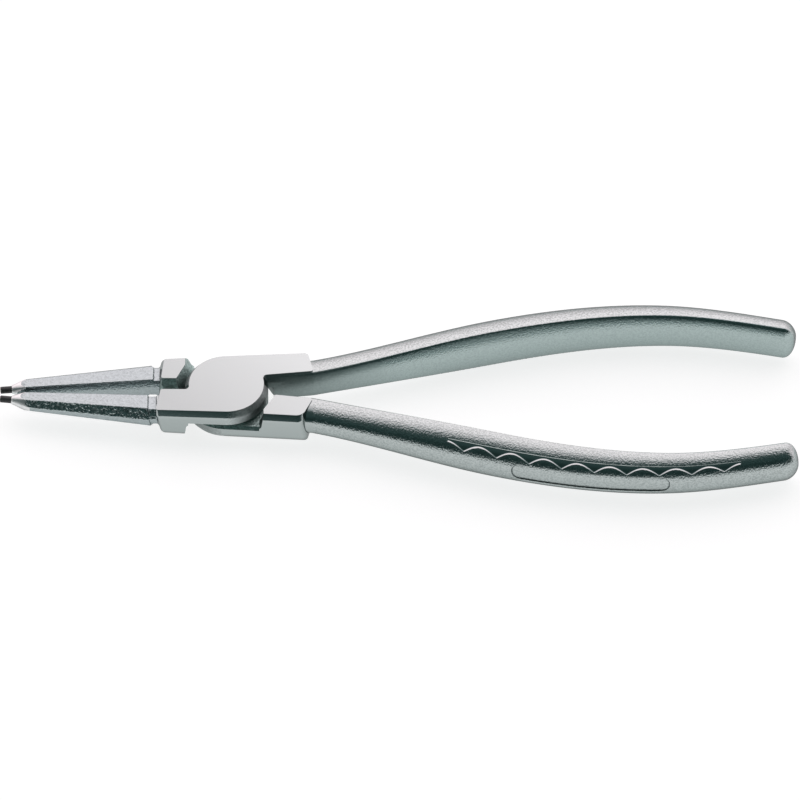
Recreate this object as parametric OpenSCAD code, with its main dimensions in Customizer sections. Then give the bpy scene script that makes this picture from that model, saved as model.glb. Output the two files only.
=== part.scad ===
// Circlip pliers with straight tips, built from two crossing drop-forged levers.
// X runs along the tool with the tips at -X, Z is across the joint, and the pivot
// axis stands on the origin with the joint's under face at z = 0.

/* [Joint] */
// Thickness of the joint over both plates
joint_t = 8.2; // [7.6:0.1:10]
// Radius of the ground faces of the round plates that turn on each other
plate_r = 8.5; // [7.8:0.1:9]
// How far the forged walls stand out past the edge of the ground faces
wall_run = 0.95; // [0.6:0.05:1]
// Height over which the walls slope out from the ground faces
wall_drop = 1.5; // [1:0.1:2]
// Gap between the two plates where they slide
lap_gap = 0.06; // [0.02:0.01:0.2]
// Chamfer on the edge of a plate beside the gap
lap_chamfer = 0.7; // [0.4:0.05:0.8]
// Radius of the corners at the ends of the shoulders
corner_r = 0.5; // [0.3:0.1:0.8]
// Fillet in the notches on both sides of a plate
notch_fillet = 0.9; // [0.4:0.1:1.3]

/* [Relief beside the plates] */
// Distance from the pivot to the slanted relief wall on the jaw side
jaw_relief_r = 11; // [10.8:0.1:11.4]
// Slant of that wall, in degrees
jaw_relief_slant = 25; // [20:1:28]
// Distance along the tool from the pivot to the end of that wall
jaw_relief_end = 9.4; // [9:0.1:9.8]
// Distance from the pivot to the slanted relief wall on the handle side
handle_relief_r = 11.2; // [10.8:0.1:11.6]
// Slant of that wall, in degrees
handle_relief_slant = 31; // [26:1:36]
// Distance along the tool from the pivot to the end of that wall
handle_relief_end = 8.5; // [8.2:0.1:9]
// How far the front lever's relief wall on the jaw side leans in at the gap
front_relief_draft = 0.5; // [0.3:0.1:1]
// How far the rear lever's relief wall on the jaw side leans in at the gap
rear_relief_draft = 1.6; // [1:0.1:1.6]
// How far the relief walls on the handle side lean in at the gap
handle_relief_draft = 0.6; // [0.3:0.1:1]

/* [Jaw shoulder] */
// Distance from the pivot to the inner corner of the shoulder's end
shoulder_reach = 14.8; // [14:0.1:16]
// How much further the outer corner of the shoulder's end reaches, on the plate's face
shoulder_lead = 1.1; // [0:0.1:1.5]
// How much less far that corner reaches on the opposite face
shoulder_lag = 0.6; // [0:0.1:1]
// Distance of the shoulder's inner side from the centre line
shoulder_in = 1.6; // [1.2:0.1:2]
// Distance of the shoulder's outer side from the centre line, on the plate's face
shoulder_out = 8.1; // [7.4:0.1:8.4]
// How much nearer that side is on the opposite face
shoulder_trim = 0.6; // [0.2:0.1:0.8]
// Share of the walls' slope that the shoulder's end has
shoulder_end_share = 0.4; // [0.3:0.1:1]

/* [Jaw] */
// Width of the groove between the shoulder and the jaw
neck_len = 1.3; // [1:0.1:2.4]
// Depth of that groove below the faces of the jaw
neck_step = 0.3; // [0.2:0.05:0.6]
// Length of the jaw from the groove to the end of its cone
jaw_len = 31.3; // [27:0.1:36]
// How much further from the joint the jaw starts on the side of its plate
jaw_slant = 1.1; // [0:0.1:1.4]
// Distance of the jaw's inner face from the centre line at the groove
jaw_root_in = 1.95; // [1.8:0.05:2.4]
// Distance of the jaw's inner face from the centre line at the end of its cone
jaw_nose_in = 0.3; // [0.2:0.05:0.5]
// Width of the jaw at the groove
jaw_root_w = 6.4; // [5.8:0.1:6.8]
// Width of the jaw at the end of its cone
jaw_nose_w = 3.5; // [3.1:0.05:3.8]
// Height of the jaw at the groove
jaw_root_h = 5.6; // [5.2:0.1:6.2]
// Height of the jaw at the end of its cone
jaw_nose_h = 3.2; // [2.8:0.1:3.5]
// How far the outer side stands out past the jaw's flat faces at the groove
jaw_slope_run = 1.9; // [1.4:0.05:2.2]
// Height over which the outer side slopes out at the groove
jaw_slope_drop = 1.85; // [1.4:0.05:2.1]
// Radius of the ground cone where the tip pin leaves it
nose_r = 1.15; // [1.1:0.05:1.3]
// Half angle of the ground cone
nose_angle = 19; // [15:1:24]

/* [Tip pins] */
// Radius of the pin that goes into the ring's lug
tip_r = 0.8; // [0.75:0.05:0.9]
// Length of the pin outside the jaw
tip_len = 2.6; // [2:0.1:3.5]
// Chamfer on the free end of the pin
tip_chamfer = 0.15; // [0.05:0.05:0.3]
// Distance of the pin's free end from the centre line, at its axis
tip_end_in = 1.3; // [1.25:0.05:1.6]
// Angle at which the pins run towards each other
tip_angle = 6; // [3:0.5:8]
// Radius of the thinner shank that is pressed into the jaw up to the pin's shoulder
shank_r = 0.6; // [0.5:0.05:0.6]
// Length of that shank
shank_len = 6; // [4:0.5:8]

/* [Rivet] */
// Radius of the rivet's shank
rivet_r = 2.6; // [2:0.1:3.2]
// Radius of its countersunk heads, ground flush with the joint
rivet_head_r = 4; // [3.4:0.1:4.8]
// Depth of the countersunk heads
rivet_head_h = 1.4; // [0.8:0.1:2]
// Radial play of the rivet in the lever that turns on it
rivet_play = 0.04; // [0.01:0.01:0.08]

/* [Handle shoulder] */
// Distance from the pivot to the inner corner of the shoulder's end
arm_reach = 19.6; // [18.5:0.1:21]
// How much less far the outer corner of the shoulder's end reaches, on the plate's face
arm_lag = 1.3; // [0.8:0.1:1.8]
// Radius of that outer corner
arm_corner_r = 1; // [0.6:0.1:1.4]
// How much less far the outer corner reaches on the opposite face
arm_back_lag = 2.4; // [1.6:0.1:2.8]
// Radius of the outer corner on the opposite face
arm_back_corner_r = 2.2; // [1.5:0.1:2.5]
// Distance of the shoulder's inner side from the centre line beside the plate
arm_in = 2.8; // [2.2:0.1:3.2]
// Distance of the shoulder's outer side from the centre line at its end
arm_out = 9.6; // [9.2:0.1:10]

/* [Handle] */
// Distance from the pivot to the end of the handles
handle_reach = 128.9; // [115:0.1:150]
// Distance of the handle's inner face from the centre line where it leaves the joint
handle_root_in = 4.1; // [3.6:0.1:4.4]
// Distance of the inner face from the centre line where the handles are furthest apart
handle_bow_in = 21.1; // [16:0.1:26]
// Distance of the inner face from the centre line at the end
handle_end_in = 17; // [12:0.1:20]
// Distance from the pivot to the place where the handles are furthest apart
bow_x = 99; // [90:1:105]
// Slope of the inner face where it leaves the joint
root_slope = 0.24; // [0.15:0.01:0.3]
// Slope of the inner face at the end
end_slope = -0.2; // [-0.3:0.01:-0.1]
// Distance from the pivot to the fullest part of the handle
grip_x = 60; // [50:1:75]
// Width of the handle where it leaves the joint
handle_root_w = 5.6; // [5:0.1:5.8]
// Width of the handle at its fullest part
grip_w = 6.6; // [5.8:0.1:7.6]
// Width of the handle at its end
handle_end_w = 4.9; // [4.2:0.1:6]
// Height of the handle where it leaves the joint
handle_root_h = 7.6; // [7:0.1:7.8]
// Height of the handle at its fullest part
grip_h = 10.9; // [9.5:0.1:12]
// Height of the handle at its end
handle_end_h = 9.7; // [8.5:0.1:11]
// How far the inner face bulges at the fullest part
inner_crown = 1.6; // [0.4:0.1:1.8]
// How far the inner face bulges where it leaves the joint
root_crown = 1.1; // [0.4:0.1:1.2]
// Squareness of the outer side where it leaves the joint, 2 for an ellipse
root_square = 3; // [2.2:0.1:3.6]
// Squareness of the outer side from the fullest part on, 2 for an ellipse
grip_square = 2.3; // [2:0.1:3]
// Length of the rounded end
end_cap = 3.2; // [2.6:0.1:4.5]

/* [Hidden] */
$fn = 96;

// Overlap of solids that are joined and of cutters past a face
lap = 0.5;
// A length that reaches past everything near the joint
past = arm_reach + jaw_len;
// Amount by which an arm's side dips into the plate instead of just touching it
dip = 0.12;

// Distances from the pivot along the jaw
neck_reach = shoulder_reach + shoulder_lead + neck_len;
nose_reach = neck_reach + jaw_len;
tip_axis_in = tip_end_in + tip_len * sin(tip_angle);

// Facets of a rounded corner
corner_steps = 5;

// Rings and points of the handle's surface
cap_rings = 6;
cap_sweep = 84;
side_rings = 30;
outer_points = 16;
inner_points = 7;
buried_scale = 0.7;
buried_x = (arm_reach + plate_r) / 2;
cap_x = handle_reach - end_cap;

// Share of the way from one place to another, eased at both ends
function eased(t) = t * t * (3 - 2 * t);
function share(x, from, to) = eased(min(1, max(0, (x - from) / (to - from))));

// Value at x that changes from the joint to the fullest part and on to the end
function along(x, root, grip, end) =
    x < grip_x
    ? root + (grip - root) * share(x, arm_reach, grip_x)
    : grip + (end - grip) * share(x, grip_x, handle_reach);

// Cubic curve between two points with given slopes
function cubic(x, x0, y0, slope0, x1, y1, slope1) =
    let (span = x1 - x0, t = (x - x0) / span)
    y0 * (1 + 2 * t) * (1 - t) ^ 2
    + slope0 * span * t * (1 - t) ^ 2
    + y1 * t * t * (3 - 2 * t)
    + slope1 * span * t * t * (t - 1);

// Inner side of the shoulder, and the inner face of the handle that goes on from it
function shoulder_y(x) = arm_in + (handle_root_in - arm_in) * (x - plate_r) / (arm_reach - plate_r);
function inner_y(x) =
    x <= arm_reach
    ? shoulder_y(x)
    : x < bow_x
    ? cubic(x, arm_reach, handle_root_in, root_slope, bow_x, handle_bow_in, 0)
    : cubic(x, bow_x, handle_bow_in, 0, handle_reach, handle_end_in, end_slope);

// Section of the handle, with a crowned inner face and a rounded outer side
function rounded(value, square) = sign(value) * abs(value) ^ (2 / square);
function section(x, size) =
    let (
        width = along(x, handle_root_w, grip_w, handle_end_w),
        half_h = along(x, handle_root_h, grip_h, handle_end_h) / 2,
        square = along(x, root_square, grip_square, grip_square),
        crown = along(x, root_crown, inner_crown, inner_crown),
        middle = inner_y(x) + width / 2,
        outer = [for (i = [0 : outer_points])
            let (a = 90 - 180 * i / outer_points)
            [width * (rounded(cos(a), square) - 0.5), half_h * rounded(sin(a), square)]],
        inner = [for (i = [1 : inner_points])
            let (t = 2 * i / (inner_points + 1) - 1)
            [-width / 2 - crown * (1 - t * t), half_h * t]]
    )
    [for (p = concat(outer, inner)) [x, middle + size * p.x, size * p.y]];

// Point where a straight edge from p ends, dipping a little into the plate
function tangent_angle(p) = atan2(p.y, p.x) + acos((plate_r - dip) / norm(p));
function on_plate(p) = (plate_r - dip) * [cos(tangent_angle(p)), sin(tangent_angle(p))];

// Rounded corner at p between the sides to a and to b, counter-clockwise
function corner(a, p, b, r) =
    let (
        u = (a - p) / norm(a - p),
        v = (b - p) / norm(b - p),
        half = acos(u * v) / 2,
        centre = p + (u + v) / norm(u + v) * r / sin(half),
        start = p + u * r / tan(half) - centre
    )
    [for (i = [0 : corner_steps])
        let (turn = atan2(start.y, start.x) + (180 - 2 * half) * i / corner_steps)
        centre + r * [cos(turn), sin(turn)]];

// Faces of the arms, counter-clockwise: the jaw's shoulder and the handle's
function jaw_arm(lead, out) =
    let (
        inner = [-shoulder_reach, -shoulder_in],
        outer = [-shoulder_reach - lead, -out],
        end = on_plate(outer)
    )
    concat(
        [[0, -shoulder_in]],
        corner([0, -shoulder_in], inner, outer, corner_r),
        corner(inner, outer, end, corner_r),
        [end]
    );
function handle_arm(lag, outer_r) =
    let (
        inner = [arm_reach, handle_root_in],
        outer = [arm_reach - lag, arm_out],
        end = on_plate(outer)
    )
    concat(
        [[0, shoulder_y(0)]],
        corner([0, shoulder_y(0)], inner, outer, corner_r),
        corner(inner, outer, end, outer_r),
        [end]
    );

// Outline moved outwards by a distance. The jaw's end moves less, and the handle's end stays.
function outward(a, b) = [b.y - a.y, a.x - b.x] / norm(b - a);
function end_share(x) = x > plate_r ? 0 : x < -plate_r ? shoulder_end_share : 1;
function moved_out(points, distance) =
    [for (i = [0 : len(points) - 1])
        let (
            n = len(points),
            before = outward(points[(i + n - 1) % n], points[i]),
            after = outward(points[i], points[(i + 1) % n]),
            way = (before + after) / (1 + before * after)
        )
        points[i] + distance * [way.x * end_share(points[i].x), way.y]];

// Closed solid through rings of points that run clockwise as seen from the last ring.
// Both end faces fan out from the point with the number hub.
module loft(rings, hub) {
    per_ring = len(rings[0]);
    last = (len(rings) - 1) * per_ring;
    sides = [for (i = [0 : len(rings) - 2], j = [0 : per_ring - 1])
        let (k = (j + 1) % per_ring)
        [i * per_ring + j, i * per_ring + k, (i + 1) * per_ring + k, (i + 1) * per_ring + j]];
    start_face = [for (j = [0 : per_ring - 1]) (hub + per_ring - j) % per_ring];
    end_face = [for (j = [0 : per_ring - 1]) last + (hub + j) % per_ring];
    polyhedron([for (ring = rings) each ring], concat(sides, [start_face, end_face]));
}

// Arm between the outlines of its two faces, with walls that follow levels of
// [height, distance past those outlines]
module arm(plate_face, back_face, levels) {
    last = len(plate_face) - 1;
    loft([for (level = levels)
        let (
            t = level[0] / joint_t + 0.5,
            moved = moved_out(plate_face * t + back_face * (1 - t), level[1])
        )
        [for (i = [0 : last]) [moved[last - i].x, moved[last - i].y, level[0]]]], last);
}

// Fillet between the round plate and the inner side of an arm. The side runs along
// the unit vector side at the distance level from the pivot, and out points out of the arm.
module notch_corner(side, out, level) {
    rise = level + notch_fillet;
    centre = rise * out + sqrt((plate_r + notch_fillet) ^ 2 - rise ^ 2) * side;
    difference() {
        polygon([[0, 0], centre, centre - (notch_fillet + lap) * out]);
        translate(centre)
            circle(notch_fillet);
    }
}

module notch_corners() {
    arm_run = [arm_reach - plate_r, handle_root_in - arm_in];
    arm_side = arm_run / norm(arm_run);
    arm_down = [arm_side.y, -arm_side.x];
    notch_corner([-1, 0], [0, 1], -shoulder_in);
    notch_corner(arm_side, arm_down, [plate_r, arm_in] * arm_down);
}

// Round plate, both arms and the fillets between them, with walls that follow levels
module joint_form(levels) {
    rotate_extrude()
        polygon(concat(
            [[0, levels[0][0]]],
            [for (level = levels) [plate_r + level[1], level[0]]],
            [[0, levels[len(levels) - 1][0]]]
        ));
    arm(jaw_arm(shoulder_lead, shoulder_out), jaw_arm(-shoulder_lag, shoulder_out - shoulder_trim), levels);
    arm(handle_arm(arm_lag, arm_corner_r), handle_arm(arm_back_lag, arm_back_corner_r), levels);
    low = levels[0][0];
    translate([0, 0, low])
        linear_extrude(levels[len(levels) - 1][0] - low)
            notch_corners();
}

// Half of space on the pivot's side of a relief wall that leans in towards the gap
module inside_relief(angle, reach, draft) {
    rotate(angle)
        translate([reach, 0, -joint_t / 2])
            rotate([0, -atan2(draft, joint_t / 2), 0])
                translate([-past, -past, -past])
                    cube([past, 2 * past, 2 * past]);
}

// What is cut away under the plate, up to the chamfer on its edge
module relief(jaw_draft) {
    chamfer_top = lap_gap / 2 + lap_chamfer + lap;
    difference() {
        intersection() {
            translate([-past / 2, -past / 2, -joint_t / 2 - lap])
                cube([past, past, joint_t / 2 + lap + chamfer_top]);
            union() {
                intersection() {
                    inside_relief(180 + jaw_relief_slant, jaw_relief_r, jaw_draft);
                    inside_relief(handle_relief_slant, handle_relief_r, handle_relief_draft);
                }
                intersection() {
                    inside_relief(180, jaw_relief_end, jaw_draft);
                    inside_relief(0, handle_relief_end, handle_relief_draft);
                }
            }
        }
        joint_form([
            [lap_gap / 2, wall_run - lap_chamfer],
            [chamfer_top + lap, wall_run - lap_chamfer + chamfer_top + lap - lap_gap / 2],
        ]);
    }
}

module joint_body(jaw_draft) {
    half_t = joint_t / 2;
    difference() {
        joint_form([
            [-half_t, 0],
            [wall_drop - half_t, wall_run],
            [half_t - wall_drop, wall_run],
            [half_t, 0],
        ]);
        relief(jaw_draft);
    }
}

// Things on the axis of the tip pin, with z = 0 where it leaves the jaw
module on_tip_axis() {
    translate([-nose_reach, -tip_axis_in, 0])
        rotate([0, 0, 180 - tip_angle])
            rotate([0, 90, 0])
                children();
}

// Section of the jaw: flat inner face, flat faces above and below, sloped and upright outer side
function jaw_section(x, inner, width, height, slant = 0) =
    let (
        outer = inner + width,
        run = jaw_slope_run * height / jaw_root_h,
        drop = jaw_slope_drop * height / jaw_root_h,
        corners = [
            [-inner, height / 2],
            [run - outer, height / 2],
            [-outer, height / 2 - drop],
            [-outer, drop - height / 2],
            [run - outer, -height / 2],
            [-inner, -height / 2],
        ]
    )
    [for (c = corners) [x - slant * c[1] / height, c[0], c[1]]];

module jaw() {
    intersection() {
        loft([
            jaw_section(-neck_reach, jaw_root_in, jaw_root_w, jaw_root_h, jaw_slant),
            jaw_section(-nose_reach, jaw_nose_in, jaw_nose_w, jaw_nose_h),
            jaw_section(-nose_reach - lap, jaw_nose_in, jaw_nose_w, jaw_nose_h),
        ], 0);
        on_tip_axis()
            translate([0, 0, -past])
                cylinder(h = past, r1 = nose_r + past * tan(nose_angle), r2 = nose_r);
    }
}

module neck() {
    ends = [lap - shoulder_reach, -neck_reach - jaw_slant];
    width = jaw_root_w - 2 * neck_step;
    height = jaw_root_h - 2 * neck_step;
    loft([for (x = ends) jaw_section(x, jaw_root_in + neck_step, width, height)], 0);
}

module handle() {
    rings = concat(
        [[buried_x, buried_scale]],
        [for (i = [0 : side_rings]) [arm_reach + (cap_x - arm_reach) * i / side_rings, 1]],
        [for (i = [1 : cap_rings])
            let (a = cap_sweep * i / cap_rings)
            [cap_x + end_cap * sin(a), cos(a)]]
    );
    // The end faces fan out from the middle of the outer side
    loft([for (ring = rings) section(ring[0], ring[1])], outer_points / 2);
}

// One forging: jaw, plate above the middle plane, and handle
module lever(jaw_draft, play) {
    difference() {
        union() {
            joint_body(jaw_draft);
            neck();
            jaw();
            handle();
        }
        translate([0, 0, -lap])
            cylinder(h = joint_t / 2 + 2 * lap, r = rivet_r + play);
        translate([0, 0, joint_t / 2 - rivet_head_h])
            cylinder(h = rivet_head_h, r1 = rivet_r + play, r2 = rivet_head_r + play);
        on_tip_axis()
            translate([0, 0, -shank_len])
                cylinder(h = shank_len + lap, r = shank_r);
    }
}

module tip_pin() {
    on_tip_axis() {
        translate([0, 0, -shank_len])
            cylinder(h = shank_len, r = shank_r);
        cylinder(h = tip_len - tip_chamfer, r = tip_r);
        translate([0, 0, tip_len - tip_chamfer])
            cylinder(h = tip_chamfer, r1 = tip_r, r2 = tip_r - tip_chamfer);
    }
}

// The rear half is the front half turned over about the tool's length
module front_half() {
    translate([0, 0, joint_t / 2])
        children();
}

module rear_half() {
    front_half()
        rotate([180, 0, 0])
            children();
}

module front_lever() {
    color("silver")
        front_half()
            lever(front_relief_draft, 0);
}

module rear_lever() {
    color("silver")
        rear_half()
            lever(rear_relief_draft, rivet_play);
}

module joint_rivet() {
    half_t = joint_t / 2;
    color("gainsboro")
        front_half()
            rotate_extrude()
                polygon([
                    [0, -half_t],
                    [rivet_head_r, -half_t],
                    [rivet_r, rivet_head_h - half_t],
                    [rivet_r, half_t - rivet_head_h],
                    [rivet_head_r, half_t],
                    [0, half_t],
                ]);
}

module front_tip_pin() {
    color("dimgray")
        front_half()
            tip_pin();
}

module rear_tip_pin() {
    color("dimgray")
        rear_half()
            tip_pin();
}

front_lever();
rear_lever();
joint_rivet();
front_tip_pin();
rear_tip_pin();
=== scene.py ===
import math

import bmesh
import bpy
from mathutils import Matrix, Vector


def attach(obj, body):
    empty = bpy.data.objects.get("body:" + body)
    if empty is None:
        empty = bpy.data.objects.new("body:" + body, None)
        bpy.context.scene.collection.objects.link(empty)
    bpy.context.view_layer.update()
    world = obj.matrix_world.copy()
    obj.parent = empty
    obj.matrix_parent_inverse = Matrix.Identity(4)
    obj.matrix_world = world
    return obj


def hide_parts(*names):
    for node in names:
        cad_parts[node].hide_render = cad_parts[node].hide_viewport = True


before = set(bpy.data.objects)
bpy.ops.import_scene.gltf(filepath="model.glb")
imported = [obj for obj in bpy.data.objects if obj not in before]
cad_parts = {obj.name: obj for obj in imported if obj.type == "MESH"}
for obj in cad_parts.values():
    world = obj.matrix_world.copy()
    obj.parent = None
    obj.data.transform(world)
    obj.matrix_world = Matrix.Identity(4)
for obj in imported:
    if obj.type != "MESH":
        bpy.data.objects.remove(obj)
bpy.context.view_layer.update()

MM = 0.001

# Joint: two plates that lap at the middle plane, z = 0 of a lever
JOINT_T = 8.2
HALF_T = JOINT_T / 2
PLATE_R = 8.5
WALL_RUN = 0.95
LAP_GAP = 0.06
LAP_CHAMFER = 0.7
CORNER_R = 0.5
NOTCH_FILLET = 0.9
NOTCH_POINTS = 10
PLATE_POINTS = 60
MITRE_LIMIT = 0.5
# Round edge of a ground face: depth below the face and distance out
GROUND_EDGE = ((0, -0.3), (0, -0.08), (0.02, -0.03), (0.07, 0.01), (0.15, 0.06))
# Round foot of the wall's slope: height and share of the wall's run
WALL_FOOT = ((2.9, 0.81), (2.75, 0.89), (2.55, 0.96), (2.3, 0.99), (2.0, 1.0))
WALL_MIDDLE = 0.8

# Relief walls beside the plates: distance and slant of the long part, distance of its end
JAW_RELIEF = (11.0, 25, 9.4)
HANDLE_RELIEF = (11.2, 31, 8.5)
FRONT_RELIEF_DRAFT = 0.5
REAR_RELIEF_DRAFT = 1.6
HANDLE_RELIEF_DRAFT = 0.6
# Fillet between a relief wall and the lap face: height and distance in from the wall
RELIEF_FILLET = ((-0.6, 0), (-0.35, 0.06), (-0.15, 0.18), (0, 0.4))
RELIEF_FAR = 60

# Jaw shoulder, neck and jaw
SHOULDER_REACH = 14.8
SHOULDER_LEAD = 1.1
SHOULDER_LAG = 0.6
SHOULDER_IN = 1.6
SHOULDER_OUT = 8.1
SHOULDER_TRIM = 0.6
SHOULDER_END_SHARE = 0.4
NECK_LEN = 1.3
NECK_STEP = 0.5
NECK_INNER_SHARE = 0.2
# Fillet at both ends of the neck: distance from the end and depth
NECK_FILLET = ((0.05, 0.18), (0.12, 0.3), (0.24, 0.42), (0.42, NECK_STEP))
NECK_END_SLANT = 0.67
NECK_END_LEAD = 0.45
JAW_LEN = 31.3
JAW_SLANT = 1.1
JAW_ROOT_IN = 1.95
JAW_NOSE_IN = 0.3
JAW_ROOT_W = 6.4
JAW_NOSE_W = 3.5
JAW_ROOT_H = 5.6
JAW_NOSE_H = 3.2
JAW_SLOPE_RUN = 1.9
JAW_SLOPE_DROP = 1.85
JAW_CROWN = 0.35
JAW_FACE_POINTS = 12
JAW_FACE_INSET = 0.12
# Round edges of the jaw's flat: distance from the edge and depth below the flat
JAW_INNER_EDGE = ((0.04, 0.05), (0.1, 0), (0.25, 0))
JAW_OUTER_EDGE = ((0.2, 0), (0.05, 0.01), (-0.06, 0.07))
# Points of the outer slope, in shares of its run and drop
JAW_SLOPE = ((0.9, 0.12), (0.12, 0.9), (0.04, 1), (0, 1.12))
# Round edge of the jaw's root: distance from the root and growth of the section
JAW_ROOT_EDGE = ((0, -0.15), (0.02, -0.06), (0.12, 0))
JAW_STATIONS = 30
NOSE_R = 0.92
NOSE_ANGLE = 20.5
NOSE_SPREAD = math.tan(math.radians(NOSE_ANGLE))
NOSE_PAST = 0.4
# Round edge of the cone's small end: growth of the radius and distance back
NOSE_EDGE = ((-0.1, 0), (-0.03, 0.03))
CONE_STATIONS = (0.1, 0.3, 8, 16, 32)
ROUND_POINTS = 128
NECK_REACH = SHOULDER_REACH + SHOULDER_LEAD + NECK_LEN
NOSE_REACH = NECK_REACH + JAW_LEN

# Tip pins
TIP_LEN = 2.6
TIP_END_IN = 1.3
TIP_ANGLE = math.radians(6)
TIP_AXIS_IN = TIP_END_IN + TIP_LEN * math.sin(TIP_ANGLE)

# Rivet
RIVET_R = 2.6
RIVET_HEAD_R = 4.0
RIVET_HEAD_H = 1.4
RIVET_PLAY = 0.04

# Handle
ARM_REACH = 19.6
ARM_LAG = 1.3
ARM_CORNER_R = 1.0
ARM_BACK_LAG = 2.4
ARM_BACK_CORNER_R = 2.2
ARM_IN = 2.8
ARM_OUT = 9.6
HANDLE_REACH = 128.9
HANDLE_ROOT_IN = 4.1
HANDLE_BOW_IN = 21.1
HANDLE_END_IN = 17.0
BOW_X = 99.0
ROOT_SLOPE = 0.24
END_SLOPE = -0.2
GRIP_X = 60.0
# Section at root, grip and end: width, height, squareness, crown and softness of the inner face
HANDLE_W = (5.6, 6.6, 4.9)
HANDLE_H = (7.6, 10.89, 9.7)
HANDLE_SQUARE = (2.5, 2.3, 2.3)
INNER_CROWN = (1.22, 1.6, 1.6)
INNER_ROUND = (1.0, 0.2, 0.9)
FLANK_FROM = 10.5
FLANK_TO = 15.0
FLANK_CROWN = 0.8
RIDGE_WANDER = 0.03
RIDGE_SHARPNESS = 40
# Waves of the ridges' irregularity: rate per mm and phase
RIDGE_WAVES = ((5.3, 0.4), (8.9, 1.9), (14.7, 4.1))
END_CAP = 3.2
CAP_SWEEP = 83.8
CAP_STEPS = 24
CAP_X = HANDLE_REACH - END_CAP

# Sunk field with a scalloped lower edge on the outer side of a handle
FIELD_FROM = 49.9
FIELD_ARCHES = 9
FIELD_PITCH = 7.32
FIELD_TO = FIELD_FROM + FIELD_ARCHES * FIELD_PITCH
# Limits across the side, in degrees round the section
FIELD_TOP = 57.0
ARCH_TOP = 48.5
ARCH_FOOT = 30.5
FIELD_DEPTH = 0.42
# The sinking keeps all of its part along y and this share of its part along z
SINK_LEAN = 0.17
ARCH_RAMP = 3.6
BORDER_RAMP = 3.2
FIELD_END_RAMP = 0.3

# Plain capsule panel below the scallops
PANEL_FROM = 64.4
PANEL_TO = 99.8
PANEL_MIDDLE = 6.5
PANEL_HALF = 18.5
PANEL_DEPTH = 0.25
PANEL_RAMP = 0.3
DEGREE_LENGTH = 0.098

# Fine grooves below the panel
GROOVE_FROM = 66.0
GROOVE_TO = 98.0
GROOVE_ANGLES = (-15.0, -19.0)
GROOVE_DEPTH = 0.12
GROOVE_HALF = 0.14
GROOVE_END_RAMP = 1.5


def eased(t):
    return t * t * (3 - 2 * t)


def share(x, start, end):
    return eased(min(1, max(0, (x - start) / (end - start))))


def ramp(value, width):
    """From 0 to 1 across a width, half-way at 0."""
    return eased(min(1, max(0, value / width + 0.5)))


def along(x, sizes):
    """Size of the handle at x, eased from its root to the grip and on to its end."""
    root, grip, end = sizes
    if x < GRIP_X:
        return root + (grip - root) * share(x, ARM_REACH, GRIP_X)
    return grip + (end - grip) * share(x, GRIP_X, HANDLE_REACH)


def cubic(x, x0, y0, slope0, x1, y1, slope1):
    """Curve between two points with a given slope at both."""
    span = x1 - x0
    t = (x - x0) / span
    return (
        y0 * (1 + 2 * t) * (1 - t) ** 2
        + slope0 * span * t * (1 - t) ** 2
        + y1 * t * t * (3 - 2 * t)
        + slope1 * span * t * t * (t - 1)
    )


def shoulder_y(x):
    return ARM_IN + (HANDLE_ROOT_IN - ARM_IN) * (x - PLATE_R) / (ARM_REACH - PLATE_R)


def inner_y(x):
    """Where the handle's inner face starts: straight beside the joint, then bowed."""
    if x <= ARM_REACH:
        return shoulder_y(x)
    if x < BOW_X:
        return cubic(x, ARM_REACH, HANDLE_ROOT_IN, ROOT_SLOPE, BOW_X, HANDLE_BOW_IN, 0)
    return cubic(x, BOW_X, HANDLE_BOW_IN, 0, HANDLE_REACH, HANDLE_END_IN, END_SLOPE)


def rounded(value, square):
    """Sine or cosine of a superellipse, which is round at 2 and squarer above."""
    return math.copysign(abs(value) ** (2 / square), value)


def steps(start, end, size):
    """Even steps of about a size, without the end."""
    count = max(1, round(abs(end - start) / size))
    return [start + (end - start) * i / count for i in range(count)]


def field_depth(x, angle):
    """How far the sunk field lies below the handle's outer side."""
    swing = abs(math.cos(math.pi * (x - FIELD_FROM) / FIELD_PITCH))
    arch = ARCH_FOOT + (ARCH_TOP - ARCH_FOOT) * swing
    border = min(1, max(0, (FIELD_TOP - angle) / BORDER_RAMP))
    ends = ramp(x - FIELD_FROM, FIELD_END_RAMP) * ramp(FIELD_TO - x, FIELD_END_RAMP)
    return FIELD_DEPTH * ramp(angle - arch, ARCH_RAMP) * border * ends


def inside_panel(x, angle):
    """Distance in from the panel's edge, negative outside."""
    half = PANEL_HALF * DEGREE_LENGTH
    middle = min(PANEL_TO - half, max(PANEL_FROM + half, x))
    return half - math.hypot(x - middle, (angle - PANEL_MIDDLE) * DEGREE_LENGTH)


def panel_depth(x, angle):
    """How far the plain panel lies below the handle's outer side."""
    return PANEL_DEPTH * ramp(inside_panel(x, angle), PANEL_RAMP)


def groove_depth(x, angle):
    """Depth of the fine grooves below the panel."""
    ends = ramp(x - GROOVE_FROM, GROOVE_END_RAMP) * ramp(GROOVE_TO - x, GROOVE_END_RAMP)
    off = min(abs(angle - groove) for groove in GROOVE_ANGLES) * DEGREE_LENGTH
    return GROOVE_DEPTH * ends * max(0, 1 - off / GROOVE_HALF)


# Angles of the points round the outer side, closer together where the ornament is:
# start, end and step of each stretch
SIDE_STRETCHES = (
    (-90, -76, 2), (-76, -28, 3), (-28, -9, 0.7), (-9, 21, 1.2),
    (21, 58, 0.7), (58, 76, 2.5), (76, 90, 2),
)
SIDE_ANGLES = [angle for stretch in SIDE_STRETCHES for angle in steps(*stretch)] + [90]
INNER_POINTS = 28


def ridge_wander(x):
    """Small forging irregularity of the ridges where the inner face starts."""
    return RIDGE_WANDER * sum(math.sin(rate * x + phase) for rate, phase in RIDGE_WAVES)


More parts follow.
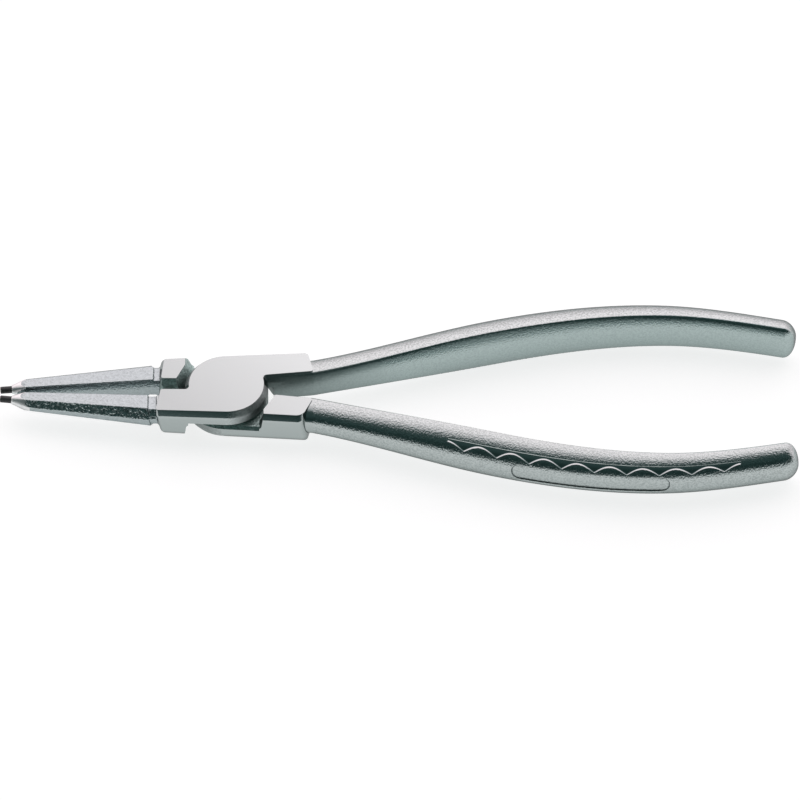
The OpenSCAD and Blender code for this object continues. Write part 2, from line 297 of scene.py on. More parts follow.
def handle_ring(x, size):
    """Section of the handle: rounded outer side with the ornament, then the crowned inner face."""
    width = along(x, HANDLE_W)
    half_h = along(x, HANDLE_H) / 2
    square = along(x, HANDLE_SQUARE)
    flank = FLANK_CROWN + (1 - FLANK_CROWN) * share(x, FLANK_FROM, FLANK_TO)
    crown = along(x, INNER_CROWN) * flank
    soft = along(x, INNER_ROUND)
    ragged = ridge_wander(x)
    middle = inner_y(x) + width / 2
    ring = []
    for angle in SIDE_ANGLES:
        a = math.radians(angle)
        c, s = max(0, math.cos(a)), math.sin(a)
        out_y = rounded(c, square) ** (square - 1) / width
        out_z = -rounded(s, square / (square - 1)) / half_h
        depth = field_depth(x, angle) + panel_depth(x, angle) + groove_depth(x, angle)
        sunk = depth * Vector((out_y, out_z)).normalized()
        y = width * (rounded(c, square) - 0.5) - sunk.x - ragged * abs(s) ** RIDGE_SHARPNESS
        z = -half_h * rounded(s, square) - SINK_LEAN * sunk.y
        ring.append((y, z))
    for i in range(1, INNER_POINTS):
        t = -math.cos(math.pi * i / INNER_POINTS)
        bulge = (1 - soft) * (1 - t * t) + soft * math.sqrt(1 - t * t)
        y = -width / 2 - crown * bulge - ragged * abs(t) ** RIDGE_SHARPNESS
        ring.append((y, half_h * t))
    return [Vector((x, middle + size * y, size * z)) for y, z in ring]


def handle_rings():
    """Sections from inside the arm to the round end, closest along the sunk field."""
    margin, plain_step, field_step = 0.5, 0.2, 0.13
    root_lead, root_size = 0.3, 0.7
    stations = steps(FLANK_FROM + root_lead, FIELD_FROM - margin, plain_step)
    stations += steps(FIELD_FROM - margin, FIELD_TO + margin, field_step)
    stations += steps(FIELD_TO + margin, CAP_X, plain_step) + [CAP_X]
    rings = [handle_ring(FLANK_FROM, root_size)]
    rings += [handle_ring(x, 1) for x in stations]
    for i in range(1, CAP_STEPS + 1):
        a = math.radians(CAP_SWEEP * i / CAP_STEPS)
        rings.append(handle_ring(CAP_X + END_CAP * math.sin(a), math.cos(a)))
    return rings


def loft_mesh(name, rings):
    """Closed mesh through rings of equal count, with a face over both ends."""
    shape = bmesh.new()
    layers = [[shape.verts.new(p) for p in ring] for ring in rings]
    count = len(rings[0])
    for low, high in zip(layers, layers[1:]):
        for j in range(count):
            k = (j + 1) % count
            shape.faces.new((low[j], low[k], high[k], high[j]))
    shape.faces.new(layers[0])
    shape.faces.new(layers[-1])
    bmesh.ops.recalc_face_normals(shape, faces=shape.faces)
    mesh = bpy.data.meshes.new(name)
    shape.to_mesh(mesh)
    shape.free()
    piece = bpy.data.objects.new(name, mesh)
    bpy.context.scene.collection.objects.link(piece)
    return piece


def combined(base, other, operation):
    """base after a boolean with other, which is used up."""
    step = base.modifiers.new("combine", "BOOLEAN")
    step.object = other
    step.operation = operation
    step.solver = "MANIFOLD"
    graph = bpy.context.evaluated_depsgraph_get()
    result = bpy.data.meshes.new_from_object(base.evaluated_get(graph))
    base.modifiers.clear()
    base.data = result
    bpy.data.objects.remove(other)
    return base


def arc(centre, radius, start, end, count):
    """Points of an arc, angles in degrees, both ends included."""
    points = []
    for i in range(count + 1):
        a = math.radians(start + (end - start) * i / count)
        points.append(centre + radius * Vector((math.cos(a), math.sin(a))))
    return points


def angle_of(v):
    return math.degrees(math.atan2(v.y, v.x))


def corner(before, point, after, radius, count=8):
    """Round corner of an outline that turns left at point."""
    back = (before - point).normalized()
    on = (after - point).normalized()
    half = back.angle(on) / 2
    centre = point + (back + on).normalized() * radius / math.sin(half)
    start = point + back * radius / math.tan(half)
    end = point + on * radius / math.tan(half)
    first = angle_of(start - centre)
    turn = (angle_of(end - centre) - first) % 360
    return arc(centre, radius, first, first + turn, count)


def notch(side, out, level):
    """Fillet between the round plate and the inner side of an arm."""
    rise = level + NOTCH_FILLET
    centre = rise * out + math.sqrt((PLATE_R + NOTCH_FILLET) ** 2 - rise ** 2) * side
    start = angle_of(-centre)
    turn = (start - angle_of(-out)) % 360
    return arc(centre, NOTCH_FILLET, start, start - turn, NOTCH_POINTS)


def tangent_angle(point):
    """Angle where the tangent from a point touches the plate, counter-clockwise of the point."""
    return angle_of(point) + math.degrees(math.acos(PLATE_R / point.length))


def on_plate(angle):
    a = math.radians(angle)
    return PLATE_R * Vector((math.cos(a), math.sin(a)))


def face_outline(shoulder_lead, shoulder_out, arm_lag, arm_corner_r):
    """Edge of one face of the joint, counter-clockwise, with round corners and notches."""
    jaw_inner = Vector((-SHOULDER_REACH, -SHOULDER_IN))
    jaw_outer = Vector((-SHOULDER_REACH - shoulder_lead, -shoulder_out))
    arm_inner = Vector((ARM_REACH, HANDLE_ROOT_IN))
    arm_outer = Vector((ARM_REACH - arm_lag, ARM_OUT))
    arm_side = Vector((ARM_REACH - PLATE_R, HANDLE_ROOT_IN - ARM_IN)).normalized()
    arm_down = Vector((arm_side.y, -arm_side.x))
    arm_level = Vector((PLATE_R, ARM_IN)).dot(arm_down)
    origin = Vector((0, 0))
    jaw_tangent = tangent_angle(jaw_outer) % 360
    arm_tangent = tangent_angle(arm_outer)
    arm_notch = notch(arm_side, arm_down, arm_level)
    jaw_notch = notch(Vector((-1, 0)), Vector((0, 1)), -SHOULDER_IN)
    arm_start = angle_of(arm_notch[0]) + 360
    jaw_start = angle_of(jaw_notch[0]) % 360
    outline = arc(origin, PLATE_R, jaw_tangent, arm_start, PLATE_POINTS)[:-1] + arm_notch
    outline += corner(arm_notch[-1], arm_inner, arm_outer, CORNER_R)
    outline += corner(arm_inner, arm_outer, on_plate(arm_tangent), arm_corner_r)
    outline += arc(origin, PLATE_R, arm_tangent, jaw_start, PLATE_POINTS)[:-1] + jaw_notch
    outline += corner(jaw_notch[-1], jaw_inner, jaw_outer, CORNER_R)
    outline += corner(jaw_inner, jaw_outer, on_plate(jaw_tangent), CORNER_R)
    return outline


PLATE_FACE = face_outline(SHOULDER_LEAD, SHOULDER_OUT, ARM_LAG, ARM_CORNER_R)
BACK_OUT = SHOULDER_OUT - SHOULDER_TRIM
BACK_FACE = face_outline(-SHOULDER_LAG, BACK_OUT, ARM_BACK_LAG, ARM_BACK_CORNER_R)


def end_share(x):
    """Share of the outward way along x: all at the plate, part at the jaw, none at the handle."""
    if x > PLATE_R:
        return 0
    return SHOULDER_END_SHARE if x < -PLATE_R else 1


def moved_out(outline, distance):
    """The outline moved outwards by a distance, less at its ends."""
    result = []
    count = len(outline)
    for i, point in enumerate(outline):
        back = (point - outline[i - 1]).normalized()
        on = (outline[(i + 1) % count] - point).normalized()
        first = Vector((back.y, -back.x))
        second = Vector((on.y, -on.x))
        middle = (first + second).normalized()
        way = middle / max(MITRE_LIMIT, middle.dot(first))
        way.x *= end_share(point.x)
        result.append(point + way * distance)
    return result


def joint_loft(name, levels):
    """Solid between the joint's two faces, with walls that follow levels of height and distance."""
    rings = []
    for z, distance in levels:
        t = z / JOINT_T + 0.5
        outline = [top * t + back * (1 - t) for top, back in zip(PLATE_FACE, BACK_FACE)]
        rings.append([Vector((p.x, p.y, z)) for p in moved_out(outline, distance)])
    return loft_mesh(name, rings)


def wall_levels():
    """Heights and outward distances of the joint's wall: ground edge, slope, upright middle."""
    upper = [(HALF_T - depth, distance) for depth, distance in GROUND_EDGE]
    upper += [(height, part * WALL_RUN) for height, part in WALL_FOOT]
    upper.append((WALL_MIDDLE, WALL_RUN))
    return upper + [(-z, distance) for z, distance in reversed(upper)]


def clipped(polygon, direction, limit):
    """The part of a convex polygon with direction . point <= limit."""
    result = []
    for i, p in enumerate(polygon):
        q = polygon[(i + 1) % len(polygon)]
        dp, dq = direction.dot(p) - limit, direction.dot(q) - limit
        if dp <= 0:
            result.append(p)
        if dp * dq < 0:
            result.append(p + (q - p) * dp / (dp - dq))
    return result


LAP_TOP = LAP_GAP / 2 + LAP_CHAMFER


def between_walls(jaw_wall, handle_wall):
    """Space between two relief walls that lean in towards the gap and end in a fillet."""
    _, deepest = RELIEF_FILLET[-1]
    levels = [(-HALF_T - 1, 0), *RELIEF_FILLET, (LAP_TOP, deepest)]
    far = RELIEF_FAR
    rings = []
    for z, fillet in levels:
        rise = 1 + min(0, z) / HALF_T
        region = [Vector(p) for p in ((-far, -far), (far, -far), (far, far), (-far, far))]
        for angle, reach, draft in (jaw_wall, handle_wall):
            a = math.radians(angle)
            way = Vector((math.cos(a), math.sin(a)))
            region = clipped(region, way, reach - draft * rise - fillet)
        rings.append([Vector((p.x, p.y, z)) for p in region])
    return loft_mesh("between_walls", rings)


def relief_cutter(jaw_draft):
    """What is cut away under the plate, leaving a chamfer on the plate's lap edge."""
    jaw_reach, jaw_slant, jaw_end = JAW_RELIEF
    handle_reach, handle_slant, handle_end = HANDLE_RELIEF
    slanted = between_walls(
        (180 + jaw_slant, jaw_reach, jaw_draft),
        (handle_slant, handle_reach, HANDLE_RELIEF_DRAFT),
    )
    straight = between_walls((180, jaw_end, jaw_draft), (0, handle_end, HANDLE_RELIEF_DRAFT))
    cutter = combined(slanted, straight, "UNION")
    clear = 0.04
    levels = [
        (LAP_GAP / 2, WALL_RUN - LAP_CHAMFER),
        (LAP_TOP + clear, WALL_RUN + clear),
        (LAP_TOP + 1, WALL_RUN + clear),
    ]
    return combined(cutter, joint_loft("plate_keep", levels), "DIFFERENCE")


def jaw_ring(t, x, grow=0.0, slant=0.0):
    """Section of the jaw at share t of its length: crowned inner face, flats, sloped outer side."""
    inner = -JAW_ROOT_IN - (JAW_NOSE_IN - JAW_ROOT_IN) * t + NECK_INNER_SHARE * min(0, grow)
    half_h = (JAW_ROOT_H + (JAW_NOSE_H - JAW_ROOT_H) * t) / 2 + grow
    scale = half_h * 2 / JAW_ROOT_H
    root_out = JAW_ROOT_IN + JAW_ROOT_W
    nose_out = JAW_NOSE_IN + JAW_NOSE_W
    outer = -root_out - (nose_out - root_out) * t - grow
    run, drop = JAW_SLOPE_RUN * scale, JAW_SLOPE_DROP * scale
    crown = JAW_CROWN * scale
    upper = [(inner - crown - away, half_h - depth) for away, depth in JAW_INNER_EDGE]
    upper += [(outer + run + away, half_h - depth) for away, depth in JAW_OUTER_EDGE]
    upper += [(outer + run * out, half_h - drop * down) for out, down in JAW_SLOPE]
    face = []
    for i in range(JAW_FACE_POINTS + 1):
        u = -1 + 2 * i / JAW_FACE_POINTS
        face.append((inner - crown * u * u, u * (half_h - JAW_FACE_INSET)))
    ring = face + upper + [(y, -z) for y, z in reversed(upper)]
    return [Vector((x - slant * z / (2 * half_h), y, z)) for y, z in ring]


def jaw():
    rings = []
    for step, grow in JAW_ROOT_EDGE:
        rings.append(jaw_ring(0, -NECK_REACH - step, grow, JAW_SLANT))
    for i in range(1, JAW_STATIONS + 1):
        t = i / JAW_STATIONS
        rings.append(jaw_ring(t, -NECK_REACH - JAW_LEN * t, 0, JAW_SLANT * (1 - t)))
    rings.append(jaw_ring(1, -NOSE_REACH - NOSE_PAST))
    return combined(loft_mesh("jaw", rings), nose_cone(), "INTERSECT")


def on_tip_axis(radius, back, angle):
    """Point round the axis of the tip pin, back from where the pin leaves the jaw."""
    along_x, along_y = math.cos(TIP_ANGLE), -math.sin(TIP_ANGLE)
    side = Vector((math.sin(TIP_ANGLE), math.cos(TIP_ANGLE), 0))
    foot = Vector((-NOSE_REACH + back * along_x, -TIP_AXIS_IN + back * along_y, 0))
    return foot + radius * (math.cos(angle) * side + math.sin(angle) * Vector((0, 0, 1)))


def nose_cone():
    """Cone with a round edge at its small end, where the pin leaves the jaw."""
    levels = [(NOSE_R + growth, back) for growth, back in NOSE_EDGE]
    levels += [(NOSE_R + back * NOSE_SPREAD, back) for back in CONE_STATIONS]
    turns = [2 * math.pi * i / ROUND_POINTS for i in range(ROUND_POINTS)]
    return loft_mesh("cone", [[on_tip_axis(r, back, a) for a in turns] for r, back in levels])


def neck():
    """Groove between jaw and shoulder, with a fillet at both ends."""
    end_x = -SHOULDER_REACH - NECK_END_LEAD
    into_jaw, into_shoulder, skin_inset, end_inset = 0.3, 0.5, 0.16, 0.05
    rings = [jaw_ring(0, -NECK_REACH - into_jaw, -skin_inset, JAW_SLANT)]
    for away, inset in NECK_FILLET:
        rings.append(jaw_ring(0, -NECK_REACH + away, -inset, JAW_SLANT))
    for away, inset in reversed(NECK_FILLET):
        rings.append(jaw_ring(0, end_x - away, -inset, NECK_END_SLANT))
    rings.append(jaw_ring(0, end_x, -end_inset, NECK_END_SLANT))
    rings.append(jaw_ring(0, -SHOULDER_REACH + into_shoulder, -end_inset))
    return loft_mesh("neck", rings)


def lathe(name, profile):
    """Solid of revolution about z through points of radius and height."""
    turns = [2 * math.pi * i / ROUND_POINTS for i in range(ROUND_POINTS)]
    rings = []
    for r, z in profile:
        rings.append([Vector((r * math.cos(a), r * math.sin(a), z)) for a in turns])
    return loft_mesh(name, rings)


def rivet_hole(play):
    over = 0.5
    return lathe("rivet_hole", [
        (RIVET_R + play, -1),
        (RIVET_R + play, HALF_T - RIVET_HEAD_H),
        (RIVET_HEAD_R + play + over, HALF_T + over),
    ])


def lever(jaw_draft, play):
    """One forging: relieved joint plate, neck, jaw, handle and countersunk hole."""
    body = joint_loft("lever", wall_levels())
    body = combined(body, relief_cutter(jaw_draft), "DIFFERENCE")
    body = combined(body, neck(), "UNION")
    body = combined(body, jaw(), "UNION")
    body = combined(body, loft_mesh("handle", handle_rings()), "UNION")
    return combined(body, rivet_hole(play), "DIFFERENCE")


def to_row_frame(piece, turned_over):
    """From a lever's own millimetres to the shared frame."""
    place = Matrix.Translation((0, 0, HALF_T * MM)) @ Matrix.Scale(MM, 4)
    if turned_over:
        place = place @ Matrix.Rotation(math.pi, 4, "X")
    piece.data.transform(place)
    return piece


def shade(piece, sharp_angle):
    piece.data.shade_smooth()
    piece.data.set_sharp_from_angle(angle=math.radians(sharp_angle))


def rivet():
    return lathe("rivet", [
        (RIVET_HEAD_R, -HALF_T),
        (RIVET_R, RIVET_HEAD_H - HALF_T),
        (RIVET_R, HALF_T - RIVET_HEAD_H),
        (RIVET_HEAD_R, HALF_T),
    ])


class Nodes:
    """Small helper for building a node tree."""

    def __init__(self, tree):
        self.tree = tree
        tree.nodes.clear()

    def add(self, kind):
        return self.tree.nodes.new(kind)

    def link(self, source, target):
        self.tree.links.new(source, target)

    def math(self, operation, first, second=None):
        node = self.add("ShaderNodeMath")
        node.operation = operation
        for socket, value in zip(node.inputs, (first, second)):
            if value is None:
                continue
            if isinstance(value, (int, float)):
                socket.default_value = value
            else:
                self.link(value, socket)
        return node.outputs[0]


def noise(nodes, place, scale, detail):
    texture = nodes.add("ShaderNodeTexNoise")
    texture.inputs["Scale"].default_value = scale
    texture.inputs["Detail"].default_value = detail
    nodes.link(place, texture.inputs["Vector"])
    return texture.outputs["Fac"]


# Tones: start and end in mm, direction in plan, and whether both sides of the pivot are alike;
# finishes set their roughness and a painted light level along them
EVEN = (0, 1, (1, 0), False)
DIAGONAL_PAINTED_LIGHT = (-18, 24, (1, 1), False)
ROOT_ROUGHNESS_AND_PAINTED_SHADE = (9, 40, (1, 0), False)
AROUND_ROUGHNESS_AND_PAINTED_SHADE = (0, 3.5, (1, 0), True)

# Where the skin's noise counts as a pit and as a crest: painted shade darkens the pits and painted
# highlight lightens the crests
PIT, CREST = 0.35, 0.6
SMEAR = 0.08
SMEAR_SCALE = 220


def level_along(nodes, place, tone, low, high):
    """Value that changes from low to high along a tone."""
    start, end, direction, two_sided = tone
    if two_sided:
        mirrored = nodes.add("ShaderNodeVectorMath")
        mirrored.operation = "ABSOLUTE"
        nodes.link(place, mirrored.inputs[0])
        place = mirrored.outputs["Vector"]
    way = nodes.add("ShaderNodeVectorMath")
    way.operation = "DOT_PRODUCT"
    way.inputs[1].default_value = (*direction, 0)
    nodes.link(place, way.inputs[0])
    return mapped(nodes, way.outputs["Value"], (start * MM, end * MM, low, high))


def mapped(nodes, value, limits):
    """Value mapped from one range to another, both given in limits."""
    level = nodes.add("ShaderNodeMapRange")
    for key, limit in zip(("From Min", "From Max", "To Min", "To Max"), limits):
        level.inputs[key].default_value = limit
    nodes.link(value, level.inputs["Value"])
    return level.outputs["Result"]


def metal_colour(nodes, place, colour, tone, low, high, height, pit_shade_crest_highlight):
    """Colour that changes along a direction as painted light, and is a little darker in the pits of
    the skin as painted shade and lighter on its crests as painted highlight.
    """
    level = level_along(nodes, place, tone, low, high)
    # Painted shade in the pits of the skin and painted highlight on its crests
    painted_pit_crest_level = mapped(nodes, height, (PIT, CREST, 1 - pit_shade_crest_highlight, 1 + pit_shade_crest_highlight))
    scaled = nodes.add("ShaderNodeVectorMath")
    scaled.operation = "SCALE"
    scaled.inputs[0].default_value = colour
    nodes.link(nodes.math("MULTIPLY", level, painted_pit_crest_level), scaled.inputs["Scale"])
    return scaled.outputs["Vector"]


def metal(
    name, colour, roughness, grain, grain_scale,
    tone=EVEN, painted_light_levels=(1, 1), pit_shade_crest_highlight=0.0, edge=1.0,
):
    """Metal with a pebbled skin of the given height in mm.

    Roughness and a painted light level change along the tone, the skin's pits and crests get
    painted shade and painted highlight, and edge is the brightness at grazing angles.
    """
    material = bpy.data.materials.new(name)
    material.use_nodes = True
    nodes = Nodes(material.node_tree)
    place = nodes.add("ShaderNodeTexCoord").outputs["Object"]
    shader = nodes.add("ShaderNodeBsdfPrincipled")
    output = nodes.add("ShaderNodeOutputMaterial")
    height = noise(nodes, place, grain_scale, detail=2)
    shaded = metal_colour(nodes, place, colour, tone, *painted_light_levels, height, pit_shade_crest_highlight)
    nodes.link(shaded, shader.inputs["Base Color"])
    shader.inputs["Metallic"].default_value = 1
    shader.inputs["Specular Tint"].default_value = (edge, edge, edge, 1)
    smear = nodes.math("MULTIPLY_ADD", noise(nodes, place, SMEAR_SCALE, detail=3), SMEAR)
    smear.node.inputs[2].default_value = -SMEAR / 2
    base = level_along(nodes, place, tone, *roughness)
    nodes.link(nodes.math("ADD", base, smear), shader.inputs["Roughness"])
    bump = nodes.add("ShaderNodeBump")
    bump.inputs["Strength"].default_value = 1
    bump.inputs["Distance"].default_value = grain * MM
    nodes.link(height, bump.inputs["Height"])
    nodes.link(bump.outputs["Normal"], shader.inputs["Normal"])
    nodes.link(shader.outputs["BSDF"], output.inputs["Surface"])
    return material


# Finishes: colour, roughness at both ends of the tone, height and scale of the grain
CHROME = (0.40, 0.445, 0.44)
# Painted light: the ground faces and the rivet head run from darker to lighter along the diagonal
ground = metal("lever_ground", CHROME, (0.17, 0.17), 0.001, 900, DIAGONAL_PAINTED_LIGHT, (0.86, 1.1))
forged = metal("lever_forged", CHROME, (0.17, 0.17), 0.10, 2400, pit_shade_crest_highlight=0.12, edge=0.3)
# Painted shade: the handles' inner faces are darker near the joint and lighter along the handle,
# and also rougher near the joint
inner = metal(
    "lever_inner", (0.37, 0.447, 0.438), (0.5, 0.24), 0.06, 2400,
    ROOT_ROUGHNESS_AND_PAINTED_SHADE, (0.56, 1.0), pit_shade_crest_highlight=0.06, edge=0.5,
)
skin = metal("lever_jaw", (0.35, 0.40, 0.407), (0.2, 0.2), 0.15, 1700, pit_shade_crest_highlight=0.06, edge=0.4)
slope = metal("lever_slope", (0.40, 0.46, 0.46), (0.27, 0.27), 0.36, 1400, pit_shade_crest_highlight=0.25, edge=0.4)
walls = metal("lever_walls", CHROME, (0.15, 0.15), 0.012, 2400, edge=0.5)
# Painted shade: the plate's rim darkens, and grows rougher, further from the pivot along x
rim = metal(
    "lever_rim", CHROME, (0.15, 0.55), 0.05, 2000,
    AROUND_ROUGHNESS_AND_PAINTED_SHADE, (1.0, 0.8), pit_shade_crest_highlight=0.1, edge=0.8,
)
rough = metal("lever_rough", (0.32, 0.41, 0.395), (0.5, 0.5), 0.15, 2000, pit_shade_crest_highlight=0.2)
field = metal("lever_field", CHROME, (0.17, 0.17), 0.01, 1500)
lap = metal("lever_lap", (0.34, 0.44, 0.42), (0.45, 0.45), 0.2, 1800, pit_shade_crest_highlight=0.2)
# Painted highlight: chrome far lighter than the rest, along the edges of the sunk arches
painted_highlight = metal("lever_painted_highlight", (0.70, 0.73, 0.73), (0.14, 0.14), 0.002, 900)
# The ground cones' own finish with a painted highlight: far lighter than the chrome, so the cones
# show white
cone = metal("lever_cone_painted_highlight", (0.80, 0.82, 0.82), (0.45, 0.45), 0.002, 900, edge=0.25)
# Painted shade: a near-black chrome along the edge of the sunk panel
panel_edge_shade = metal("lever_panel_edge_shade", (0.10, 0.12, 0.12), (0.3, 0.3), 0.01, 1500)
pin_steel = metal("tip_steel", (0.105, 0.108, 0.11), (0.7, 0.7), 0.01, 2500)
FINISHES = (
    forged, ground, walls, rough, field, lap, inner, skin, painted_highlight, panel_edge_shade, rim, slope, cone,
)
(
    FORGED, GROUND, WALLS, ROUGH, FIELD, LAP, INNER, SKIN, PAINTED_HIGHLIGHT, PANEL_EDGE_SHADE, RIM, SLOPE, CONE,
) = range(len(FINISHES))

# Bounds that tell the faces of the joint and jaw apart, in mm and as parts of a unit normal
FLAT = 0.98
GROUND_BAND = 0.1
LAP_FACE_BAND = 0.2
LAP_FROM = -0.3
LAP_TO = 1.6
FACES_DOWN = -0.2
NECK_FROM = -SHOULDER_REACH - SHOULDER_LEAD - 0.5
NECK_SIDE_FROM = -SHOULDER_REACH - 0.4
NECK_HALF_H = 2.7
SLOPE_FROM = 0.3
SLOPE_TO = 0.9
CONE_END = 0.15
CONE_BAND = 0.06
ARM_FACES_IN = -0.4
FACES_IN = -0.3
FACES_OUT = 0.3
RIM_REACH = PLATE_R + 1.1 * WALL_RUN

# Bounds that tell the faces of the handle apart, in mm, degrees and shares of a height or depth
INNER_FROM = FLANK_FROM + 2
INNER_MARGIN = 0.1
INNER_NORMAL = -0.1
SIDE_TOP = 0.95
SIDE_MARGIN = 0.5
ARCH_EDGE_FROM = 0.1
ARCH_EDGE_TO = 0.85
ARCH_MARGIN = 3
HALF_SUNK = 0.5


def on_cone(centre):
    """Whether a point of the jaw lies on its ground cone or the cone's end."""
    back_way = Vector((math.cos(TIP_ANGLE), -math.sin(TIP_ANGLE), 0))
    off = centre - Vector((-NOSE_REACH, -TIP_AXIS_IN, 0))
    back = off.dot(back_way)
    radius = (off - back * back_way).length
    return back < CONE_END or abs(radius - NOSE_R - back * NOSE_SPREAD) < CONE_BAND


def joint_finish(centre, normal):
    """Finish of a face of the joint, neck or jaw."""
    x, y, z = centre
    if x < NECK_FROM or (x < NECK_SIDE_FROM and abs(z) < NECK_HALF_H):
        # Ground cone, in a colour with a painted highlight
        if on_cone(centre):
            return CONE
        return SLOPE if SLOPE_FROM < abs(normal.z) < SLOPE_TO else SKIN
    if abs(normal.z) > FLAT and abs(abs(z) - HALF_T) < GROUND_BAND:
        return GROUND
    if abs(x) < SHOULDER_REACH and abs(normal.z) > FLAT and abs(z) < LAP_FACE_BAND:
        return LAP
    if abs(x) < SHOULDER_REACH and LAP_FROM < z < LAP_TO and normal.z < FACES_DOWN:
        return LAP
    facing_in = INNER if x > 0 else ROUGH
    if PLATE_R < abs(x) < ARM_REACH and normal.y * y < ARM_FACES_IN * abs(y):
        return facing_in
    radius = math.hypot(x, y)
    outward = (normal.x * x + normal.y * y) / radius
    if abs(x) < SHOULDER_REACH and outward < FACES_IN:
        return facing_in
    # Plate rim, coloured with painted shade away from the pivot
    if x * y < 0 and radius < RIM_REACH and outward > FACES_OUT:
        return RIM
    return WALLS


def side_finish(x, y, z):
    """Finish of a face on the outer side of the handle."""
    half_h = along(x, HANDLE_H) / 2
    height = -z / half_h
    if abs(height) > SIDE_TOP or y < inner_y(x) + SIDE_MARGIN:
        return FORGED
    angle = math.degrees(math.asin(rounded(height, 4 / along(x, HANDLE_SQUARE))))
    depth = field_depth(x, angle) / FIELD_DEPTH
    # Painted highlight along the edges of the arches
    if ARCH_EDGE_FROM < depth < ARCH_EDGE_TO and angle < ARCH_TOP + ARCH_MARGIN:
        return PAINTED_HIGHLIGHT
    if depth > HALF_SUNK:
        return FIELD
    # Painted shade along the sunk panel's edge
    if abs(inside_panel(x, angle)) < PANEL_RAMP / 2:
        return PANEL_EDGE_SHADE
    return FORGED


def paint_lever(piece):
    """Ground joint faces, sunk fields and forged skin each take their own finish."""
    piece.data.materials.clear()
    for material in FINISHES:
        piece.data.materials.append(material)
    for face in piece.data.polygons:
        x, y, z = face.center
        if x > INNER_FROM and y < inner_y(x) + INNER_MARGIN and face.normal.y < INNER_NORMAL:
            face.material_index = INNER
        elif x < ARM_REACH:
            face.material_index = joint_finish(face.center, face.normal)
        else:
            face.material_index = side_finish(x, y, z)


# The two levers
for name, body, draft, play, turned in (
    ("front_lever", "front_half", FRONT_RELIEF_DRAFT, 0, False),
    ("rear_lever", "rear_half", REAR_RELIEF_DRAFT, RIVET_PLAY, True),
):
    piece = lever(draft, play)
    piece.name = name + "_forging"
    shade(piece, sharp_angle=40)
    paint_lever(piece)
    to_row_frame(piece, turned)
    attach(piece, body)
    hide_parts(name)

# The rivet
head = rivet()
head.name = "flush_rivet"
shade(head, sharp_angle=20)
head.data.materials.append(ground)
to_row_frame(head, False)
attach(head, "front_half")
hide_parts("joint_rivet")

# The tip pins keep their solids and only take a finish
for name in ("front_tip_pin", "rear_tip_pin"):
    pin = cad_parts[name]
    pin.data.materials.clear()
    pin.data.materials.append(pin_steel)


# Stage: pale floor, bright sky behind, dark sky on the camera's side and one soft lamp
STAGE_MIDDLE = Vector((0.04, 0, 0))
FLOOR_Z = -1.4
FLOOR_SIZE = 6
FLOOR_GLOW = 0.8
FLOOR_COLOUR = (0.36, 0.37, 0.37, 1)
LAMP_COLOUR = (1, 0.91, 0.92)

# Colours round the tool, from the camera's horizon (0) over the top (0.5) to the far horizon (1)
SKY_STOPS = (
    (0.0, (0.25, 0.28, 0.28)),
    (0.03, (0.12, 0.16, 0.16)),
    (0.11, (0.022, 0.048, 0.046)),
    (0.20, (0.022, 0.045, 0.043)),
    (0.30, (0.045, 0.085, 0.083)),
    (0.45, (0.060, 0.095, 0.093)),
    (0.50, (0.12, 0.16, 0.16)),
    (0.535, (0.60, 0.62, 0.63)),
    (0.57, (1.00, 0.92, 0.95)),
    (0.63, (1.22, 1.09, 1.12)),
    (0.73, (1.36, 1.20, 1.24)),
    (1.0, (1.40, 1.24, 1.28)),
)


def floor():
    place = STAGE_MIDDLE + Vector((0, 0, FLOOR_Z * MM))
    bpy.ops.mesh.primitive_plane_add(size=FLOOR_SIZE, location=place)
    plane = bpy.context.object
    plane.name = "floor"
    material = bpy.data.materials.new("floor_white")
    material.use_nodes = True
    nodes = Nodes(material.node_tree)
    diffuse = nodes.add("ShaderNodeBsdfDiffuse")
    diffuse.inputs["Color"].default_value = FLOOR_COLOUR
    glow = nodes.add("ShaderNodeEmission")
    rays = nodes.add("ShaderNodeLightPath").outputs
    seen = nodes.math("MAXIMUM", rays["Is Camera Ray"], rays["Is Glossy Ray"])
    seen = nodes.math("MAXIMUM", seen, rays["Is Transmission Ray"])
    strength = nodes.math("MULTIPLY", seen, FLOOR_GLOW)
    nodes.link(strength, glow.inputs["Strength"])
    both = nodes.add("ShaderNodeAddShader")
    nodes.link(diffuse.outputs[0], both.inputs[0])
    nodes.link(glow.outputs[0], both.inputs[1])
    nodes.link(both.outputs[0], nodes.add("ShaderNodeOutputMaterial").inputs["Surface"])
    plane.data.materials.append(material)


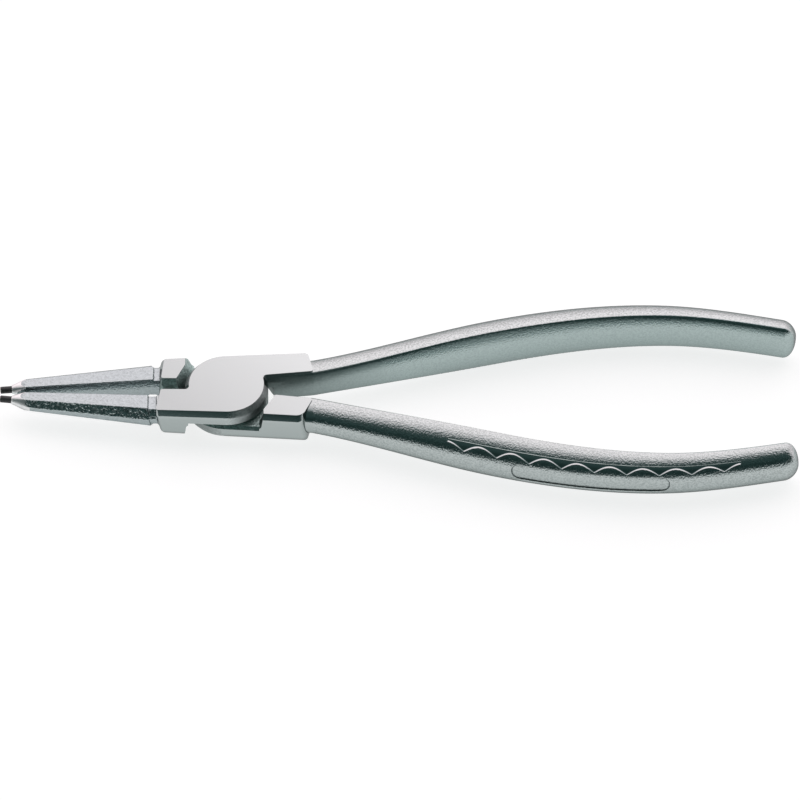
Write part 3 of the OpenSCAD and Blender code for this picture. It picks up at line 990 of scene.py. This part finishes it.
def studio():
    world = bpy.data.worlds.new("studio")
    bpy.context.scene.world = world
    world.use_nodes = True
    nodes = Nodes(world.node_tree)
    way = nodes.add("ShaderNodeSeparateXYZ")
    nodes.link(nodes.add("ShaderNodeTexCoord").outputs["Generated"], way.inputs[0])
    toward_camera = nodes.math("MULTIPLY", way.outputs["Y"], -1.0)
    turn = nodes.math("ARCTAN2", way.outputs["Z"], toward_camera)
    part = nodes.math("DIVIDE", turn, math.pi)
    bands = nodes.add("ShaderNodeValToRGB")
    nodes.link(part, bands.inputs["Fac"])
    stops = bands.color_ramp.elements
    while len(stops) < len(SKY_STOPS):
        stops.new(1.0)
    for stop, (place, colour) in zip(stops, SKY_STOPS):
        stop.position = place
        stop.color = (*colour, 1)
    sky = nodes.add("ShaderNodeBackground")
    nodes.link(bands.outputs["Color"], sky.inputs["Color"])
    nodes.link(sky.outputs[0], nodes.add("ShaderNodeOutputWorld").inputs["Surface"])


def softbox(name, place, size, power):
    lamp = bpy.data.lights.new(name, "AREA")
    lamp.shape = "RECTANGLE"
    lamp.size, lamp.size_y = size
    lamp.energy = power
    lamp.color = LAMP_COLOUR
    box = bpy.data.objects.new(name, lamp)
    box.location = place
    ahead = STAGE_MIDDLE - Vector(place)
    box.rotation_euler = ahead.to_track_quat("-Z", "Y").to_euler()
    bpy.context.scene.collection.objects.link(box)


def camera():
    elevation = math.radians(47.7)
    roll = math.radians(0.39)
    distance = 3.0
    view_width = 0.1806
    sensor = 36
    target = Vector((39.19, -0.82, HALF_T)) * MM
    ahead = Vector((0, math.cos(elevation), -math.sin(elevation)))
    right = Vector((1, 0, 0))
    up = Vector((0, math.sin(elevation), math.cos(elevation)))
    turned_right = right * math.cos(roll) + up * math.sin(roll)
    turned_up = up * math.cos(roll) - right * math.sin(roll)
    lens = bpy.data.cameras.new("camera")
    lens.sensor_width = sensor
    lens.lens = sensor * distance / view_width
    lens.clip_start = 0.1
    lens.clip_end = 20
    lens.dof.use_dof = False
    eye = bpy.data.objects.new("camera", lens)
    basis = Matrix((turned_right, turned_up, -ahead)).transposed().to_4x4()
    eye.matrix_world = Matrix.Translation(target - ahead * distance) @ basis
    bpy.context.scene.collection.objects.link(eye)
    bpy.context.scene.camera = eye


floor()
studio()
softbox("overhead", place=(0.3, 1.1, 1.25), size=(1.8, 1.2), power=3)
camera()
bpy.context.scene.view_settings.view_transform = "Standard"
